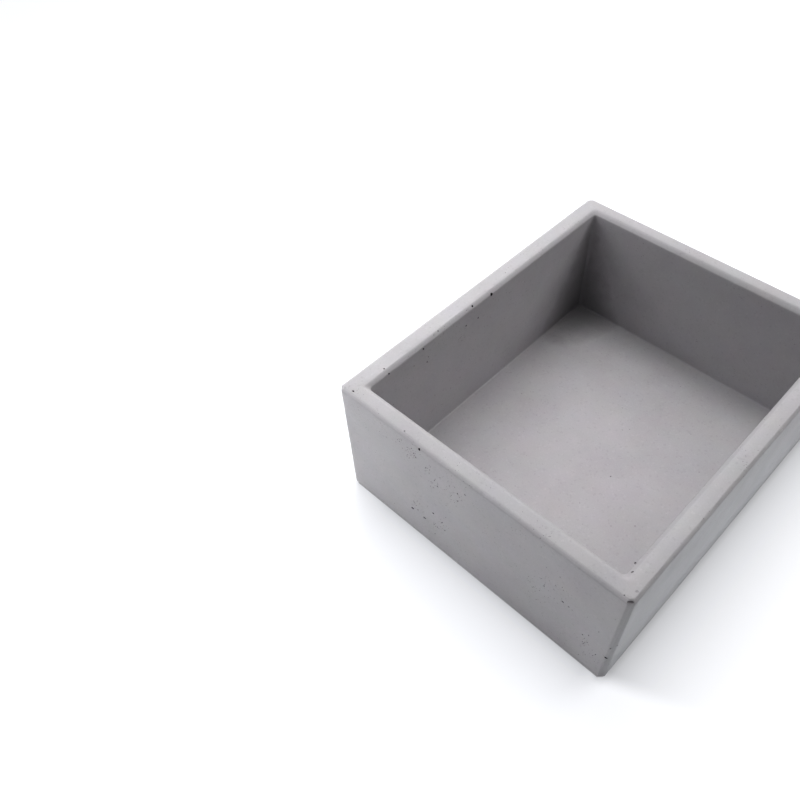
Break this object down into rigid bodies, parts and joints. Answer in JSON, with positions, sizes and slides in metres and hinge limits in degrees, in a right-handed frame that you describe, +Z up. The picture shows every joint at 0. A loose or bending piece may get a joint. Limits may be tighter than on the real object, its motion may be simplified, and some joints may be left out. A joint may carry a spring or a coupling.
{
  "type": "concrete storage box",
  "caption": "Open-topped rectangular box cast in concrete, with chamfered rim and corners and felt pads underneath, for keeping small things on a desk or dressing table.",
  "frame": {"origin": "on the table surface, under the middle of the box's outline", "axes": "+X to the right along the shorter outside, +Y from the front to the back along the longer outside, +Z up out of the open top"},
  "size_m": [0.12, 0.147, 0.057],
  "materials": {
    "concrete": "bare fair-faced cast concrete, matt mid grey with small open air pores and faint clouding",
    "felt": "pressed dark grey felt disc with adhesive back"
  },
  "bodies": {
    "root": {"concrete_box": "concrete", "base_pad_front_left": "felt", "base_pad_front_right": "felt", "base_pad_back_left": "felt", "base_pad_back_right": "felt"}
  },
  "joints": []
}
